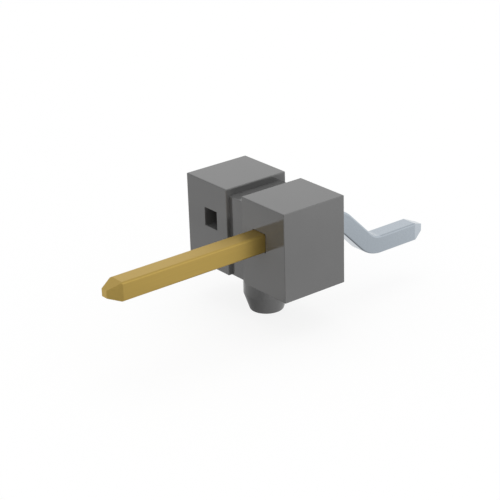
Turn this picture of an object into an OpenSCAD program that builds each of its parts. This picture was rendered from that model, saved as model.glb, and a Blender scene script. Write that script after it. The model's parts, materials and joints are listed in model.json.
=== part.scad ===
// Horizontal surface-mount pin header: a moulded housing with a break-off groove between its
// positions and a locating peg beneath, and a formed square-wire contact in one position.
// The origin lies on the peg's axis at the board's surface. +X runs along the row, +Y points to
// the solder tail and +Z points up from the board.

/* [Row] */
// Distance between neighbouring positions
pitch = 2.54; // [2:0.01:5.08]
// Number of positions in the housing
positions = 2; // [2:1:12]
// Position that holds the contact, counted along +X
contact_position = 2; // [1:1:2]

/* [Housing] */
// Depth of the housing from its front face to its rear face
housing_depth = 2.5; // [2:0.05:5]
// Height of the housing above the board
housing_height = 3.05; // [2.6:0.05:6]
// Width of the break-off groove between two positions
groove_width = 0.8; // [0.3:0.05:1.2]
// Depth of the groove in the front face
groove_front = 0.13; // [0.05:0.01:0.3]
// Depth of the groove in the top face
groove_top = 0.25; // [0.05:0.01:0.5]
// Depth of the groove in the rear face
groove_rear = 0.2; // [0.05:0.01:0.3]

/* [Locating peg] */
// Diameter of the peg
peg_d = 1.55; // [1.2:0.01:2]
// Length of the peg's straight part below the board's surface
peg_straight = 0.79; // [0.4:0.01:1.6]
// Length of the tapered end below the straight part
peg_taper = 0.6; // [0.2:0.01:1]
// Diameter of the peg's end face
peg_tip_d = 1.15; // [0.6:0.01:1.5]

/* [Contact wire] */
// Side of the square wire
wire_side = 0.635; // [0.4:0.005:0.8]
// Radius along the wire's four edges
wire_edge_r = 0.07; // [0.02:0.01:0.15]
// Height of the wire's middle above the board, in the housing
wire_height = 1.78; // [1.4:0.01:2.2]
// Clearance between the wire and each wall of its hole
hole_clearance = 0.01; // [0.005:0.005:0.05]

/* [Mating post] */
// Length of the post in front of the housing
post_length = 5.91; // [3:0.01:12]
// Length of the taper at both ends of the wire
tip_length = 0.46; // [0.2:0.01:0.9]
// Side of the square end face at both ends of the wire
tip_side = 0.25; // [0.1:0.01:0.36]

/* [Solder tail] */
// Straight length of wire behind the housing, before the first bend
tail_lead = 0.27; // [0.05:0.01:1]
// Inner radius of the two bends
bend_inner_r = 0.65; // [0.3:0.01:0.9]
// Angle of each bend
bend_angle = 45; // [30:1:70]
// Length of the level foot, with its taper
foot_length = 2.03; // [1:0.01:4]

/* [Hidden] */
$fn = 64;

plastic_color = [0.30, 0.30, 0.30];
gold_color = [0.72, 0.58, 0.29];
tin_color = [0.66, 0.70, 0.73];

// Overshoot of a cutter past the face that it opens
cut_margin = 0.5;

row_length = positions * pitch;
front_y = -housing_depth / 2;
rear_y = housing_depth / 2;
contact_x = position_x(contact_position);
hole_side = wire_side + 2 * hole_clearance;

// The tail's two equal bends take the wire from its height in the housing down to the board
bend_r = bend_inner_r + wire_side / 2;
tail_drop = wire_height - wire_side / 2;
slant_drop = tail_drop - 2 * bend_r * (1 - cos(bend_angle));
slant_length = slant_drop / sin(bend_angle);

// Legs of the tail from the middle of the housing: the length of each, then its bend, down or up
tail_legs = [
    [rear_y + tail_lead, bend_angle],
    [slant_length, -bend_angle],
    [foot_length, 0],
];

// Place of a position's middle along the row
function position_x(index) = (index - (positions + 1) / 2) * pitch;

// Block from its lowest corner to its highest
module block(low, high) {
    translate(low) cube(high - low);
}

module break_off_groove(x) {
    half = groove_width / 2;
    web_front = front_y + groove_front;
    web_rear = rear_y - groove_rear;
    web_top = housing_height - groove_top;
    difference() {
        block([x - half, front_y - cut_margin, -cut_margin],
              [x + half, rear_y + cut_margin, housing_height + cut_margin]);
        block([x - half - cut_margin, web_front, -2 * cut_margin],
              [x + half + cut_margin, web_rear, web_top]);
    }
}

module contact_hole(x) {
    translate([x, 0, wire_height])
        cube([hole_side, housing_depth + 2 * cut_margin, hole_side], center = true);
}

module locating_peg() {
    rotate([180, 0, 0]) {
        cylinder(d = peg_d, h = peg_straight);
        translate([0, 0, peg_straight]) cylinder(d1 = peg_d, d2 = peg_tip_d, h = peg_taper);
    }
}

module housing() {
    color(plastic_color) {
        difference() {
            block([-row_length / 2, front_y, 0], [row_length / 2, rear_y, housing_height]);
            for (gap = [1 : positions - 1]) break_off_groove(position_x(gap + 0.5));
            for (index = [1 : positions]) contact_hole(position_x(index));
        }
        locating_peg();
    }
}

// Cross-section of the wire: a square with its corners rounded
module wire_section() {
    flat = wire_side - 2 * wire_edge_r;
    square([wire_side, flat], center = true);
    square([flat, wire_side], center = true);
    for (x = [-1, 1], y = [-1, 1]) translate([x, y] * flat / 2) circle(r = wire_edge_r);
}

// Straight wire from the origin along +Y
module straight_wire(length) {
    rotate([-90, 0, 0]) linear_extrude(height = length) wire_section();
}

// Outline of a tip, seen from one side: the wire's full width narrowing to the end face
module tip_wedge() {
    outline = [
        [-wire_side / 2, 0],
        [wire_side / 2, 0],
        [tip_side / 2, tip_length],
        [-tip_side / 2, tip_length],
    ];
    linear_extrude(height = 2 * wire_side, center = true) polygon(outline);
}

// Straight wire along +Y that ends in a four-sided taper
module tipped_wire(length) {
    straight_wire(length - tip_length);
    translate([0, length - tip_length, 0]) intersection() {
        straight_wire(tip_length);
        tip_wedge();
        rotate([0, 90, 0]) tip_wedge();
    }
}

// Bend of a wire that arrives at the origin along +Y: a positive angle turns it down
module wire_bend(angle) {
    side = sign(angle);
    translate([0, 0, -side * bend_r]) rotate([0, -90 * side, 0])
        rotate_extrude(angle = abs(angle)) translate([bend_r, 0]) wire_section();
}

// Moves what follows a bend to the bend's far end
module past_bend(angle) {
    reach = [0, 0, sign(angle) * bend_r];
    translate(-reach) rotate([-angle, 0, 0]) translate(reach) children();
}

// Wire that follows a list of legs, each with its length and bend, and ends in a tip
module formed_wire(legs, index = 0) {
    length = legs[index][0];
    angle = legs[index][1];
    if (index == len(legs) - 1) tipped_wire(length);
    else {
        straight_wire(length);
        translate([0, length, 0]) {
            wire_bend(angle);
            past_bend(angle) formed_wire(legs, index + 1);
        }
    }
}

module mating_post() {
    rotate([0, 0, 180]) tipped_wire(post_length + housing_depth / 2);
}

// One formed wire: the finish changes in the middle of the housing, out of sight
module contact_pin() {
    translate([contact_x, 0, wire_height]) {
        color(gold_color) mating_post();
        color(tin_color) formed_wire(tail_legs);
    }
}

housing();
contact_pin();
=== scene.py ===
"""Looks of a horizontal surface-mount pin header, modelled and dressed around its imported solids.

Lengths are in millimetres while a piece is modelled, and each finished mesh is scaled to metres.
"""

import json
import logging
import math
from dataclasses import dataclass
from enum import Enum
from typing import Any

import bpy
from mathutils import Matrix, Vector


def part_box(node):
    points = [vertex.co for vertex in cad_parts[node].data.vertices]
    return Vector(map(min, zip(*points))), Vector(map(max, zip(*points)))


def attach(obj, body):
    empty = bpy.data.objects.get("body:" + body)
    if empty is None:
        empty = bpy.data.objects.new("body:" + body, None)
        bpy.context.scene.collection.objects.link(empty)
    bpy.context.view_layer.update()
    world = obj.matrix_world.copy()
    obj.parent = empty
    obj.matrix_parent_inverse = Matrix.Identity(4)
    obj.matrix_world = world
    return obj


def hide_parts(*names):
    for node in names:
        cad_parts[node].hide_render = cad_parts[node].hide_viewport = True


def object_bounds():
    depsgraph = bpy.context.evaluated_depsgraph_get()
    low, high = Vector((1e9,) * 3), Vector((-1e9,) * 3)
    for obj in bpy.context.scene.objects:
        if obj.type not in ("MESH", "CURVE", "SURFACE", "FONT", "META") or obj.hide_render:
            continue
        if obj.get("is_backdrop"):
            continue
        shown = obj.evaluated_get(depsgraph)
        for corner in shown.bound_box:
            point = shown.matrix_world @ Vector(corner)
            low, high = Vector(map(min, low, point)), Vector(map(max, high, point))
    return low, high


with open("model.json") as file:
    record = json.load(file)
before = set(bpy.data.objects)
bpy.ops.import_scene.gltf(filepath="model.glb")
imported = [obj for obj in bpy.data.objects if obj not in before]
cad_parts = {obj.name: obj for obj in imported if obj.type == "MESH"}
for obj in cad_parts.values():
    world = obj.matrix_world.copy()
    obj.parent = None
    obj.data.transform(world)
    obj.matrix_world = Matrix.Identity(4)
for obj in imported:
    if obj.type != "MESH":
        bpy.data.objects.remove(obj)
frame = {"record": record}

MM = 0.001
BODY = "root"
LOG = logging.getLogger("pin_header")

NOISE_LOW = 0.3  # most values of a noise pattern lie between these two
NOISE_HIGH = 0.7
FACING_DOWN = -0.9  # a face whose normal has less height than this points down
NEARLY_DARK = 0.01  # a ray that gets less brightness than this doesn't see the room

Socket = bpy.types.NodeSocket
Value = Socket | bpy.types.Material | float | tuple[float, ...] | list[Socket]
Color = tuple[float, float, float]


class Slot(Enum):
    """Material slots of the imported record."""

    HOUSING_PLASTIC = "housing_plastic"
    PLATED_CONTACT = "plated_contact"


def add_object(name: str, data: bpy.types.ID) -> bpy.types.Object:
    """Adds an object to the scene.

    Args:
        name: Name of the object.
        data: Mesh, lamp or camera that it holds.

    Returns:
        The object, at the origin.
    """
    added = bpy.data.objects.new(name, data)
    bpy.context.scene.collection.objects.link(added)
    return added


class NodeGraph:
    """A node tree under construction."""

    def __init__(self, tree: bpy.types.NodeTree) -> None:
        """Starts on an existing tree.

        Args:
            tree: Tree that the nodes go into.
        """
        self.tree = tree

    def feed(self, socket: Socket, value: Value) -> None:
        """Joins outputs to an input, or sets the input's own value.

        Args:
            socket: Input to feed.
            value: One output, a list of outputs, or a plain value.
        """
        for source in value if isinstance(value, list) else [value]:
            if isinstance(source, Socket):
                self.tree.links.new(source, socket)
            else:
                socket.default_value = source

    def add(
        self, kind: str, inputs: dict[str | int, Value], output: str | int = 0, **settings: Any
    ) -> Socket:
        """Adds a node and feeds its inputs.

        Args:
            kind: Blender's identifier of the node.
            inputs: What each named or numbered input takes.
            output: Name or number of the output to hand back.
            settings: Properties of the node, set before its inputs.

        Returns:
            The chosen output.
        """
        node = self.tree.nodes.new(kind)
        for setting, choice in settings.items():
            setattr(node, setting, choice)
        for key, value in inputs.items():
            self.feed(node.inputs[key], value)
        return node.outputs[output]

    def math(self, operation: str, *values: Value) -> Socket:
        """Adds a Math node on the given values and hands back its result."""
        return self.add("ShaderNodeMath", dict(enumerate(values)), operation=operation)

    def vector(self, x: Value, y: Value, z: Value) -> Socket:
        """Adds a vector put together from three values and hands it back."""
        return self.add("ShaderNodeCombineXYZ", {"X": x, "Y": y, "Z": z})

    def split(self, vector: Value) -> list[Socket]:
        """Adds a vector's three values and hands them back."""
        return list(self.add("ShaderNodeSeparateXYZ", {"Vector": vector}).node.outputs)

    def spread(self, value: Value, start: float, low: Value, high: Value, end: float) -> Socket:
        """Maps a value's range onto another range, and holds it there.

        Args:
            value: Value to map.
            start: Value that becomes low.
            low: Result at the start.
            high: Result at the end.
            end: Value that becomes high.

        Returns:
            The mapped value.
        """
        ends = {"From Min": start, "From Max": end, "To Min": low, "To Max": high}
        return self.add("ShaderNodeMapRange", {"Value": value, **ends})

    def mix_colors(self, share: Value, first: Value, second: Value) -> Socket:
        """Adds a mix of two colours and hands back the result."""
        # the Mix node has sockets of the same name for each kind of value, so they go by number
        inputs = {0: share, 6: first, 7: second}
        return self.add("ShaderNodeMix", inputs, output=2, data_type="RGBA")

    def mix_values(self, share: Value, first: Value, second: Value) -> Socket:
        """Adds a mix of two numbers and hands back the result."""
        return self.add("ShaderNodeMix", {0: share, 2: first, 3: second}, data_type="FLOAT")


class ShapeTree(NodeGraph):
    """A Geometry Nodes tree that makes one piece from named sizes."""

    def __init__(self, name: str) -> None:
        """Starts an empty tree.

        Args:
            name: Name of the tree and of its modifier.
        """
        super().__init__(bpy.data.node_groups.new(name, "GeometryNodeTree"))
        for way in ("INPUT", "OUTPUT"):
            self.tree.interface.new_socket("Geometry", in_out=way, socket_type="NodeSocketGeometry")
        self.entry = self.tree.nodes.new("NodeGroupInput")
        self.exit = self.tree.nodes.new("NodeGroupOutput")
        self.values: dict[str, Any] = {}

    @property
    def source(self) -> Socket:
        """The geometry that the modifier starts from."""
        return self.entry.outputs["Geometry"]

    def named(self, name: str, value: float | bpy.types.Material) -> Socket:
        """Adds a named input.

        Args:
            name: Name of the input.
            value: What the modifier sets it to.

        Returns:
            The input inside the tree.
        """
        kind = "NodeSocketMaterial" if isinstance(value, bpy.types.Material) else "NodeSocketFloat"
        item = self.tree.interface.new_socket(name, in_out="INPUT", socket_type=kind)
        self.values[item.identifier] = value
        return next(s for s in self.entry.outputs if s.identifier == item.identifier)

    def cuboid(self, size: Socket, centre: Socket | tuple[float, float, float]) -> Socket:
        """Adds a box of a size about a centre and hands back its mesh."""
        box = self.add("GeometryNodeMeshCube", {"Size": size})
        return self.add("GeometryNodeTransform", {"Geometry": box, "Translation": centre})

    def close(self, geometry: Socket, finish: bpy.types.Material) -> None:
        """Ends the tree in plain geometry with a material.

        Args:
            geometry: What the tree made.
            finish: Material of all of it.
        """
        real = self.add("GeometryNodeRealizeInstances", {"Geometry": geometry})
        finish_input = self.named("Finish", finish)
        dressed = self.add("GeometryNodeSetMaterial", {"Geometry": real, "Material": finish_input})
        self.feed(self.exit.inputs["Geometry"], dressed)

    def grow(self, name: str, points: list[Vector]) -> bpy.types.Object:
        """Makes an object whose mesh is what the tree makes from a line of points.

        Args:
            name: Name of the object.
            points: Points of the line, in order.

        Returns:
            The object, with the tree as its modifier.
        """
        mesh = bpy.data.meshes.new(name)
        mesh.from_pydata(points, [(i, i + 1) for i in range(len(points) - 1)], [])
        piece = add_object(name, mesh)
        modifier = piece.modifiers.new(self.tree.name, "NODES")
        modifier.node_group = self.tree
        for identifier, value in self.values.items():
            modifier[identifier] = value
        return piece


def settle(piece: bpy.types.Object) -> None:
    """Turns what a piece's modifiers make into its plain mesh.

    Args:
        piece: Object that has the modifiers.
    """
    graph = bpy.context.evaluated_depsgraph_get()
    before = piece.data
    piece.data = bpy.data.meshes.new_from_object(piece.evaluated_get(graph))
    piece.modifiers.clear()
    bpy.data.meshes.remove(before)


def finish_mesh(piece: bpy.types.Object, crease_deg: float) -> None:
    """Shades a modelled mesh with flat faces and true creases, and scales it to metres.

    Args:
        piece: Object with its plain mesh in millimetres.
        crease_deg: Smallest angle between two faces that shows as a crease.
    """
    piece.data.shade_smooth()
    piece.data.set_sharp_from_angle(angle=math.radians(crease_deg))
    flatten = piece.modifiers.new("flat_faces", "WEIGHTED_NORMAL")
    flatten.keep_sharp = True
    settle(piece)
    piece.data.transform(Matrix.Scale(MM, 4))


def per_metre(size: float) -> float:
    """Hands back how often a pattern of a size in millimetres repeats in a metre."""
    return 1 / (size * MM)


class FinishGraph(NodeGraph):
    """The nodes of one material on a piece."""

    def __init__(self, name: str) -> None:
        """Starts a material.

        Args:
            name: Name of the material.
        """
        self.material = bpy.data.materials.new(name)
        self.material.use_nodes = True
        super().__init__(self.material.node_tree)
        self.shader = self.tree.nodes["Principled BSDF"]
        self.place = self.add("ShaderNodeTexCoord", {}, output="Object")

    def noise(self, place: Socket, scale: float) -> Socket:
        """Adds a noise pattern and hands back its value."""
        return self.add("ShaderNodeTexNoise", {"Vector": place, "Scale": scale})

    def surface(self, inputs: dict[str, Value]) -> None:
        """Feeds the surface shader's inputs."""
        for name, value in inputs.items():
            self.feed(self.shader.inputs[name], value)


@dataclass(frozen=True)
class MouldedPlastic:
    """Dark grey moulded plastic with an even gloss."""

    tone: float = 0.12
    tone_spread: float = 0.005
    refraction: float = 1.6
    roughness: float = 0.10
    roughness_spread: float = 0.03
    flow_size: float = 1.1
    grain_size: float = 0.035
    grain_depth: float = 0.0002

    def material(self) -> bpy.types.Material:
        """Builds the material.

        Returns:
            The node material.
        """
        graph = FinishGraph("grey_moulding")
        flow = graph.noise(graph.place, per_metre(self.flow_size))
        grain = graph.noise(graph.place, per_metre(self.grain_size))
        dark = (*[self.tone - self.tone_spread] * 3, 1.0)
        light = (*[self.tone + self.tone_spread] * 3, 1.0)
        rough = (self.roughness - self.roughness_spread, self.roughness + self.roughness_spread)
        relief = {"Height": grain, "Distance": self.grain_depth * MM}
        graph.surface(
            {
                "Base Color": graph.mix_colors(flow, dark, light),
                "IOR": self.refraction,
                "Roughness": graph.spread(grain, NOISE_LOW, *rough, NOISE_HIGH),
                "Normal": graph.add("ShaderNodeBump", relief),
            }
        )
        return graph.material


@dataclass(frozen=True)
class Plating:
    """One metal finish on the wire: its colour, its polish and its grain."""

    color: Color
    color_spread: float
    roughness: float
    roughness_spread: float
    grain_size: tuple[float, float, float]
    grain_depth: float


class Metal(Enum):
    """Metals that the wire is plated with."""

    GOLD = Plating(
        color=(0.57, 0.40, 0.112),
        color_spread=0.03,
        roughness=0.42,
        roughness_spread=0.04,
        grain_size=(0.03, 1.6, 0.03),
        grain_depth=0.0002,
    )
    TIN = Plating(
        color=(0.45, 0.50, 0.55),
        color_spread=0.03,
        roughness=0.17,
        roughness_spread=0.03,
        grain_size=(0.05, 0.05, 0.05),
        grain_depth=0.0002,
    )


@dataclass(frozen=True)
class PlatedWire:
    """Finish of the contact wire: gold in front and tin behind."""

    front: Metal = Metal.GOLD
    rear: Metal = Metal.TIN
    change_y: float = 0.0
    change_width: float = 0.05

    @staticmethod
    def layer(graph: FinishGraph, plating: Plating) -> tuple[Socket, Socket, Socket]:
        """Adds one plating to the material.

        Args:
            graph: Graph of the material.
            plating: Finish to add.

        Returns:
            Its colour, its roughness and the height of its relief in metres.
        """
        repeats = tuple(per_metre(size) for size in plating.grain_size)
        stretched = graph.add("ShaderNodeMapping", {"Vector": graph.place, "Scale": repeats})
        grain = graph.noise(stretched, 1.0)
        dark = (*[c * (1 - plating.color_spread) for c in plating.color], 1.0)
        light = (*[c * (1 + plating.color_spread) for c in plating.color], 1.0)
        low = plating.roughness - plating.roughness_spread
        high = plating.roughness + plating.roughness_spread
        share = graph.spread(grain, NOISE_LOW, 0.0, 1.0, NOISE_HIGH)
        color = graph.mix_colors(share, dark, light)
        roughness = graph.spread(grain, NOISE_LOW, low, high, NOISE_HIGH)
        return color, roughness, graph.math("MULTIPLY", grain, plating.grain_depth * MM)

    def material(self) -> bpy.types.Material:
        """Builds the material.

        Returns:
            The node material.
        """
        graph = FinishGraph("gold_and_tin")
        start = (self.change_y - self.change_width / 2) * MM
        end = (self.change_y + self.change_width / 2) * MM
        behind = graph.spread(graph.split(graph.place)[1], start, 0.0, 1.0, end)
        front = self.layer(graph, self.front.value)
        rear = self.layer(graph, self.rear.value)
        height = graph.mix_values(behind, front[2], rear[2])
        graph.surface(
            {
                "Base Color": graph.mix_colors(behind, front[0], rear[0]),
                "Metallic": 1.0,
                "Roughness": graph.mix_values(behind, front[1], rear[1]),
                "Normal": graph.add("ShaderNodeBump", {"Height": height, "Distance": 1.0}),
            }
        )
        return graph.material


@dataclass
class Housing:
    """The moulding: a bar of positions with a groove between them and a peg beneath."""

    low: Vector
    high: Vector
    peg_radius: float
    peg_straight: float
    finish: MouldedPlastic
    node: str = "housing"
    pitch: float = 2.54
    positions: int = 2
    groove_width: float = 0.8
    groove_front: float = 0.13
    groove_top: float = 0.25
    groove_rear: float = 0.2
    hole_side: float = 0.655
    hole_height: float = 1.78
    peg_tip_radius: float = 0.575
    peg_sides: int = 96
    edge_radius: float = 0.03
    edge_steps: int = 6
    rounded_from_deg: float = 60.0
    crease_deg: float = 16.0

    @classmethod
    def from_frame(cls, record: dict[str, Any], finish: MouldedPlastic) -> "Housing":
        """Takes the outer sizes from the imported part.

        Args:
            record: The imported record.
            finish: Finish of the moulding.

        Returns:
            The housing, ready to build.
        """
        low, high = (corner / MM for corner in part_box(cls.node))
        peg = next(m["dims"] for m in record["mounts"] if m["name"] == "locating_peg")
        return cls(low, high, peg["r_mm"], peg["length_mm"], finish)

    def position_points(self) -> list[Vector]:
        """Hands back the middle of each position on the board's surface."""
        first = -(self.positions - 1) * self.pitch / 2
        return [Vector((first + i * self.pitch, 0, 0)) for i in range(self.positions)]

    def add_groove(self, tree: ShapeTree) -> list[Socket]:
        """Adds the cutters of the break-off groove.

        Args:
            tree: Tree to add them to.

        Returns:
            The cutters in front, on top and behind.
        """
        width = tree.named("Groove width", self.groove_width)
        gaps = tree.add("GeometryNodeMeshToPoints", {"Mesh": tree.source}, mode="EDGES")
        span = 2 * (self.high - self.low).length
        middle = self.high.z / 2
        # a slab is centred on its face, so half of it cuts
        front = tree.math("MULTIPLY", tree.named("Groove front depth", self.groove_front), 2.0)
        rear = tree.math("MULTIPLY", tree.named("Groove rear depth", self.groove_rear), 2.0)
        top = tree.math("MULTIPLY", tree.named("Groove top depth", self.groove_top), 2.0)
        slabs = [
            tree.cuboid(tree.vector(width, front, span), (0, self.low.y, middle)),
            tree.cuboid(tree.vector(width, rear, span), (0, self.high.y, middle)),
            tree.cuboid(tree.vector(width, span, top), (0, 0, self.high.z)),
        ]
        return [tree.add("GeometryNodeInstanceOnPoints", {"Points": gaps, "Instance": s}) for s in slabs]

    def add_holes(self, tree: ShapeTree) -> Socket:
        """Adds the cutters of the contact holes, one at each position.

        Args:
            tree: Tree to add them to.

        Returns:
            The cutters.
        """
        side = tree.named("Hole side", self.hole_side)
        through = 2 * (self.high.y - self.low.y)
        hole = tree.cuboid(tree.vector(side, through, side), (0, 0, self.hole_height))
        middles = tree.add("GeometryNodeMeshToPoints", {"Mesh": tree.source}, mode="VERTICES")
        return tree.add("GeometryNodeInstanceOnPoints", {"Points": middles, "Instance": hole})

    def add_peg(self, tree: ShapeTree) -> list[Socket]:
        """Adds the locating peg, sunk into the bar by the length of its straight part.

        Args:
            tree: Tree to add it to.

        Returns:
            Its straight part and its tapered end.
        """
        radius = tree.named("Peg radius", self.peg_radius)
        tip_radius = tree.named("Peg tip radius", self.peg_tip_radius)
        sunk = self.peg_straight
        straight = (radius, self.peg_straight + sunk, -self.peg_straight)
        taper = (tip_radius, -self.low.z - self.peg_straight, self.low.z)
        parts = []
        for lower_radius, length, lower_z in (straight, taper):
            radii = {"Radius Top": radius, "Radius Bottom": lower_radius}
            form = {"Vertices": self.peg_sides, **radii, "Depth": length}
            upright = tree.add("GeometryNodeMeshCone", form)
            placed = {"Geometry": upright, "Translation": (0, 0, lower_z)}
            parts.append(tree.add("GeometryNodeTransform", placed))
        return parts

    def add_rounding(self, tree: ShapeTree) -> Socket:
        """Adds the choice of edges that are rounded: the outer ones, but not the mouths of the holes.

        Args:
            tree: Tree to add it to.

        Returns:
            1 on each edge to round, and 0 elsewhere.
        """
        turn = tree.add("GeometryNodeInputMeshEdgeAngle", {}, output="Signed Angle")
        outer = tree.math("GREATER_THAN", turn, math.radians(self.rounded_from_deg))
        x, _, z = tree.split(tree.add("GeometryNodeInputPosition", {}))
        from_first = tree.math("SUBTRACT", x, self.position_points()[0].x)
        beside = tree.math("ABSOLUTE", tree.math("WRAP", from_first, self.pitch / 2, -self.pitch / 2))
        above = tree.math("ABSOLUTE", tree.math("SUBTRACT", z, self.hole_height))
        clear = tree.math("GREATER_THAN", tree.math("MAXIMUM", beside, above), self.hole_side)
        return tree.math("MULTIPLY", outer, clear)

    def build(self) -> bpy.types.Object:
        """Models the housing and dresses it.

        Returns:
            The finished piece.
        """
        tree = ShapeTree("moulded_row")
        size = self.high - Vector((self.low.x, self.low.y, 0))
        bar = tree.cuboid(tuple(size), (0, 0, size.z / 2))
        cutters = [*self.add_groove(tree), self.add_holes(tree)]
        cut = {"Mesh 1": bar, "Mesh 2": cutters}
        row = tree.add("GeometryNodeMeshBoolean", cut, operation="DIFFERENCE", solver="EXACT")
        joined = {"Mesh 2": [row, *self.add_peg(tree)]}
        moulding = tree.add("GeometryNodeMeshBoolean", joined, operation="UNION", solver="EXACT")
        marked = {"Geometry": moulding, "Name": "bevel_weight_edge", "Value": self.add_rounding(tree)}
        moulding = tree.add("GeometryNodeStoreNamedAttribute", marked, domain="EDGE")
        tree.close(moulding, self.finish.material())
        piece = tree.grow("moulded_housing", self.position_points())
        rounding = piece.modifiers.new("edge_rounding", "BEVEL")
        rounding.limit_method = "WEIGHT"
        rounding.width = self.edge_radius
        rounding.segments = self.edge_steps
        rounding.use_clamp_overlap = False
        settle(piece)
        finish_mesh(piece, self.crease_deg)
        return piece


@dataclass
class ContactPin:
    """The contact: one square wire with a straight post, a formed tail and two tapered tips."""

    low: Vector
    high: Vector
    rear_face: float
    finish: PlatedWire
    node: str = "contact_pin"
    edge_radius: float = 0.07
    edge_steps: int = 8
    tip_length: float = 0.475
    tip_side: float = 0.25
    tip_rings: int = 40
    tail_lead: float = 0.27
    bend_inner_radius: float = 0.65
    bend_deg: float = 45.0
    bend_steps: int = 16
    weld_distance: float = 1e-4
    crease_deg: float = 16.0

    @classmethod
    def from_frame(cls, finish: PlatedWire) -> "ContactPin":
        """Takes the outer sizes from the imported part.

        Args:
            finish: Finish of the wire.

        Returns:
            The contact, ready to build.
        """
        low, high = (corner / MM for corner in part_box(cls.node))
        return cls(low, high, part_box(Housing.node)[1].y / MM, finish)

    @property
    def side(self) -> float:
        """Side of the square wire."""
        return self.high.x - self.low.x

    @property
    def bend_radius(self) -> float:
        """Radius of the bends on the wire's middle line."""
        return self.bend_inner_radius + self.side / 2

    def path_corners(self) -> list[Vector]:
        """Hands back the middle line's corners, between the two tips.

        Returns:
            The start of the post, the two corners of the tail and the end of the foot.
        """
        x = (self.low.x + self.high.x) / 2
        post_z = self.high.z - self.side / 2
        foot_z = self.low.z + self.side / 2
        bend = math.radians(self.bend_deg)
        upper_y = self.rear_face + self.tail_lead + self.bend_radius * math.tan(bend / 2)
        lower_y = upper_y + (post_z - foot_z) / math.tan(bend)
        return [
            Vector((x, self.low.y + self.tip_length, post_z)),
            Vector((x, upper_y, post_z)),
            Vector((x, lower_y, foot_z)),
            Vector((x, self.high.y - self.tip_length, foot_z)),
        ]

    def add_tip(self, tree: ShapeTree, section: Socket, side: Socket) -> Socket:
        """Adds one tapered tip that points up from the origin.

        Args:
            tree: Tree to add it to.
            section: Outline of the wire.
            side: Side of the wire.

        Returns:
            The tip, open where it joins the wire.
        """
        length = tree.named("Tip length", self.tip_length)
        end_side = tree.named("Tip side", self.tip_side)
        axis = tree.add("GeometryNodeCurvePrimitiveLine", {"End": tree.vector(0.0, 0.0, length)})
        axis = tree.add("GeometryNodeResampleCurve", {"Curve": axis, "Count": self.tip_rings})
        tip = tree.add(
            "GeometryNodeCurveToMesh", {"Curve": axis, "Profile Curve": section, "Fill Caps": True}
        )
        x, y, z = tree.split(tree.add("GeometryNodeInputPosition", {}))
        half = tree.spread(
            z, 0.0, tree.math("MULTIPLY", side, 0.5), tree.math("MULTIPLY", end_side, 0.5), length
        )
        limits = {"Min": tree.math("MULTIPLY", half, -1.0), "Max": half}
        pressed = [tree.add("ShaderNodeClamp", {"Value": v, **limits}) for v in (x, y)]
        tip = tree.add("GeometryNodeSetPosition", {"Geometry": tip, "Position": tree.vector(*pressed, z)})
        facing = tree.split(tree.add("GeometryNodeInputNormal", {}))[2]
        base = {"Geometry": tip, "Selection": tree.math("LESS_THAN", facing, FACING_DOWN)}
        return tree.add("GeometryNodeDeleteGeometry", base, domain="FACE", mode="ONLY_FACE")

    def build(self) -> bpy.types.Object:
        """Models the wire and dresses it.

        Returns:
            The finished piece.
        """
        tree = ShapeTree("formed_wire")
        side = tree.named("Wire side", self.side)
        path = tree.add("GeometryNodeMeshToCurve", {"Mesh": tree.source})
        bends = {"Count": self.bend_steps, "Radius": tree.named("Bend radius", self.bend_radius)}
        path = tree.add("GeometryNodeFilletCurve", {"Curve": path, **bends}, mode="POLY")
        path = tree.add("GeometryNodeSetCurveNormal", {"Curve": path}, mode="Z_UP")
        section = tree.add("GeometryNodeCurvePrimitiveQuadrilateral", {"Width": side, "Height": side})
        edges = {"Count": self.edge_steps, "Radius": tree.named("Edge radius", self.edge_radius)}
        section = tree.add("GeometryNodeFilletCurve", {"Curve": section, **edges}, mode="POLY")
        wire = tree.add("GeometryNodeCurveToMesh", {"Curve": path, "Profile Curve": section})
        start = tree.add("GeometryNodeCurveEndpointSelection", {"Start Size": 1, "End Size": 0})
        ends = tree.add("GeometryNodeCurveEndpointSelection", {"Start Size": 1, "End Size": 1})
        tangent = tree.add("GeometryNodeInputTangent", {})
        outward = tree.add(
            "ShaderNodeVectorMath",
            {"Vector": tangent, "Scale": tree.spread(start, 0.0, 1.0, -1.0, 1.0)},
            operation="SCALE",
        )
        turn = tree.add("FunctionNodeAlignRotationToVector", {"Vector": outward}, axis="Z")
        chosen = {"Points": path, "Selection": ends, "Rotation": turn}
        tip = self.add_tip(tree, section, side)
        tips = tree.add("GeometryNodeInstanceOnPoints", {**chosen, "Instance": tip})
        joined = tree.add("GeometryNodeJoinGeometry", {"Geometry": [wire, tips]})
        real = tree.add("GeometryNodeRealizeInstances", {"Geometry": joined})
        welded = tree.add("GeometryNodeMergeByDistance", {"Geometry": real, "Distance": self.weld_distance})
        tree.close(welded, self.finish.material())
        piece = tree.grow("formed_contact", self.path_corners())
        settle(piece)
        finish_mesh(piece, self.crease_deg)
        return piece


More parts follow.
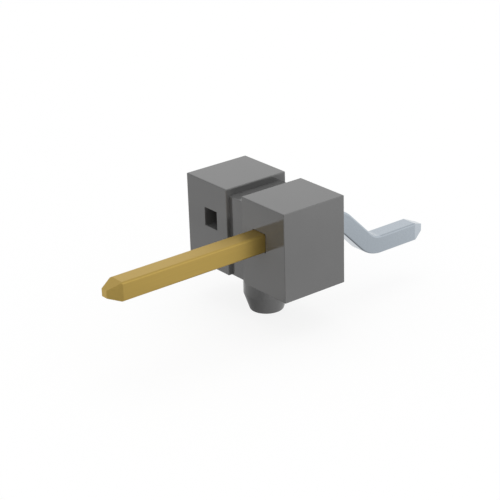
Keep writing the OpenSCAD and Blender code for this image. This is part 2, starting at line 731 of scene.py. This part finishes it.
@dataclass(frozen=True)
class Viewpoint:
    """The camera's place, given by the point that it looks at and the way to it."""

    azimuth_deg: float = 52.2482
    elevation_deg: float = 23.4053
    roll_deg: float = -1.7883
    distance: float = 51.3146
    target: tuple[float, float, float] = (-0.1585, -0.5209, 0.7945)
    lens: float = 111.82
    nearest: float = 1.0

    def build(self) -> bpy.types.Object:
        """Makes the scene's camera.

        Returns:
            The camera.
        """
        azimuth, elevation = math.radians(self.azimuth_deg), math.radians(self.elevation_deg)
        level = math.cos(elevation)
        back = Vector((math.sin(azimuth) * level, -math.cos(azimuth) * level, math.sin(elevation)))
        right = Vector((math.cos(azimuth), math.sin(azimuth), 0))
        turned = Matrix((right, back.cross(right), back)).transposed().to_4x4()
        data = bpy.data.cameras.new("viewpoint")
        data.lens = self.lens
        data.clip_start = self.nearest * MM
        camera = add_object("viewpoint", data)
        place = Matrix.Translation((Vector(self.target) + back * self.distance) * MM)
        camera.matrix_world = place @ turned @ Matrix.Rotation(math.radians(self.roll_deg), 4, "Z")
        bpy.context.scene.camera = camera
        return camera


@dataclass(frozen=True)
class Softbox:
    """A rectangular lamp that faces the part. Its level is how bright it makes a white surface there."""

    name: str
    direction: tuple[float, float, float]
    level: float
    width: float = 300.0
    height: float = 300.0
    distance: float = 400.0

    def build(self) -> bpy.types.Object:
        """Makes the lamp, facing the part.

        Returns:
            The lamp.
        """
        way = Vector(self.direction).normalized()
        data = bpy.data.lights.new(self.name, "AREA")
        data.shape = "RECTANGLE"
        data.size = self.width * MM
        data.size_y = self.height * MM
        data.energy = self.level * (math.pi * self.distance * MM) ** 2
        lamp = add_object(self.name, data)
        lamp.visible_glossy = False
        lamp.location = way * self.distance * MM
        lamp.rotation_euler = way.to_track_quat("Z", "Y").to_euler()
        return lamp


@dataclass(frozen=True)
class PaintedShadePatch:
    """Painted shade: a soft oval on the floor that is darker than the rest of it, in reflections only."""

    centre: tuple[float, float]
    reach: tuple[float, float]
    depth: float
    turn_deg: float = 0.0

    def add(self, graph: NodeGraph, place: Socket) -> Socket:
        """Adds the share of brightness that the oval leaves.

        Args:
            graph: Graph of the floor's material.
            place: Place on the floor, in metres.

        Returns:
            The share, which is 1 outside the oval.
        """
        own_axes = {
            "Vector": place,
            "Location": (self.centre[0] * MM, self.centre[1] * MM, 0.0),
            "Rotation": (0.0, 0.0, math.radians(self.turn_deg)),
            "Scale": (self.reach[0] * MM, self.reach[1] * MM, 1.0),
        }
        oval = graph.add("ShaderNodeMapping", own_axes, vector_type="TEXTURE")
        distance = graph.add("ShaderNodeVectorMath", {0: oval}, output="Value", operation="LENGTH")
        return graph.spread(distance, 0.0, 1.0 - self.depth, 1.0, 1.0)


@dataclass
class Studio:
    """The white room: floor, surroundings, lamps and camera.

    The flag is the part of the surroundings overhead and in front, which is dimmer in reflections.
    """

    floor_z: float
    floor_reach: float = 600.0
    floor_tone: float = 0.16
    floor_seen: float = 0.84
    walls_mirrored: float = 1.0
    flag_mirrored: float = 0.65
    flag_way: tuple[float, float, float] = (0.0, -0.46, 0.89)
    flag_spread: tuple[float, float] = (0.15, 0.57)
    ambient: float = 0.82
    viewpoint: Viewpoint = Viewpoint()
    lamps: tuple[Softbox, ...] = (
        Softbox("top_softbox", direction=(-0.1, 0.15, 0.98), level=0.19),
        Softbox("side_strip", direction=(1.0, 0.1, 0.05), level=0.74, width=400.0, height=40.0),
    )
    painted_shade_patches: tuple[PaintedShadePatch, ...] = (
        # painted shade, seen only in reflections: right of the part, before the post's end, before the
        # front corner, under the post and the tail
        PaintedShadePatch(centre=(7.0, 2.0), reach=(10.0, 10.0), depth=0.5),
        PaintedShadePatch(centre=(-5.0, -13.0), reach=(6.0, 6.0), depth=0.6),
        PaintedShadePatch(centre=(8.0, -8.0), reach=(11.0, 7.0), depth=1.0),
        PaintedShadePatch(centre=(0.8, -1.7), reach=(3.4, 1.9), depth=1.0, turn_deg=-42.0),
        PaintedShadePatch(centre=(1.7, 2.4), reach=(2.0, 2.0), depth=1.0),
    )

    @staticmethod
    def seen_level(graph: NodeGraph, direct: float, mirrored: Value) -> Socket:
        """Adds how bright a part of the room looks, apart from the light that it gives.

        Args:
            graph: Graph to add it to.
            direct: Brightness for the camera, also through clear material.
            mirrored: Brightness in reflections.

        Returns:
            The brightness for the ray at hand.
        """
        rays = graph.add("ShaderNodeLightPath", {}).node.outputs
        straight = graph.math("MAXIMUM", rays["Is Camera Ray"], rays["Is Transmission Ray"])
        straight = graph.math("MULTIPLY", straight, direct)
        return graph.math("MULTIPLY_ADD", rays["Is Glossy Ray"], mirrored, straight)

    def build_floor(self) -> bpy.types.Object:
        """Makes the pale floor, which keeps the part's shadow.

        Returns:
            The floor.
        """
        reach, z = self.floor_reach * MM, self.floor_z * MM
        corners = [(-reach, -reach, z), (reach, -reach, z), (reach, reach, z), (-reach, reach, z)]
        mesh = bpy.data.meshes.new("floor")
        mesh.from_pydata(corners, [], [(0, 1, 2, 3)])
        floor = add_object("floor", mesh)
        material = bpy.data.materials.new("pale_floor")
        material.use_nodes = True
        graph = NodeGraph(material.node_tree)
        graph.tree.nodes.clear()
        matt = graph.add("ShaderNodeBsdfDiffuse", {"Color": (*[self.floor_tone] * 3, 1.0)})
        place = graph.add("ShaderNodeTexCoord", {}, output="Object")
        mirrored: Value = self.floor_seen
        # painted shade: each oval darkens the floor's glow, in reflections only
        for patch in self.painted_shade_patches:
            mirrored = graph.math("MULTIPLY", patch.add(graph, place), mirrored)
        level = self.seen_level(graph, self.floor_seen, mirrored)
        glow = graph.add("ShaderNodeEmission", {"Strength": level})
        both = graph.add("ShaderNodeAddShader", {0: matt, 1: glow})
        output = graph.tree.nodes.new("ShaderNodeOutputMaterial")
        graph.feed(output.inputs["Surface"], both)
        mesh.materials.append(material)
        floor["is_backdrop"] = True
        return floor

    def build_surroundings(self) -> bpy.types.World:
        """Makes the white surroundings and their even light.

        Returns:
            The world.
        """
        world = bpy.data.worlds.new("white_room")
        world.use_nodes = True
        graph = NodeGraph(world.node_tree)
        background = graph.tree.nodes["Background"]
        background.inputs["Color"].default_value = (1.0, 1.0, 1.0, 1.0)
        way = graph.add("ShaderNodeTexCoord", {}, output="Generated")
        nearness = graph.add(
            "ShaderNodeVectorMath", {0: way, 1: self.flag_way}, output="Value", operation="DOT_PRODUCT"
        )
        start, end = self.flag_spread
        mirrored = graph.spread(nearness, start, self.walls_mirrored, self.flag_mirrored, end)
        seen = self.seen_level(graph, 1.0, mirrored)
        unseen = graph.math("MULTIPLY", graph.math("LESS_THAN", seen, NEARLY_DARK), self.ambient)
        graph.feed(background.inputs["Strength"], graph.math("ADD", seen, unseen))
        bpy.context.scene.world = world
        return world

    def build(self) -> None:
        """Makes everything that stands round the part."""
        self.build_surroundings()
        self.build_floor()
        for lamp in self.lamps:
            lamp.build()
        self.viewpoint.build()
        bpy.context.scene.view_settings.view_transform = "Standard"


def hand_over(piece: bpy.types.Object, node: str, slot: Slot) -> None:
    """Lets a finished piece stand for its solid.

    Args:
        piece: The finished piece.
        node: Solid that it replaces.
        slot: Material slot of the record; not used.
    """
    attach(piece, BODY)
    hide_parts(node)
    LOG.info("%s: %d faces, in place of %s", piece.name, len(piece.data.polygons), node)


def main() -> None:
    """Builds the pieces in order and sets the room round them."""
    logging.basicConfig(level=logging.INFO, format="%(name)s: %(message)s")
    solid_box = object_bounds()
    housing = Housing.from_frame(frame["record"], MouldedPlastic())
    hand_over(housing.build(), housing.node, Slot.HOUSING_PLASTIC)
    contact = ContactPin.from_frame(PlatedWire())
    hand_over(contact.build(), contact.node, Slot.PLATED_CONTACT)
    Studio(floor_z=housing.low.z).build()
    boxes = {"cad": solid_box, "visual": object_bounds()}
    {name: [list(corner) for corner in box] for name, box in boxes.items()}


if __name__ == "__main__":
    main()
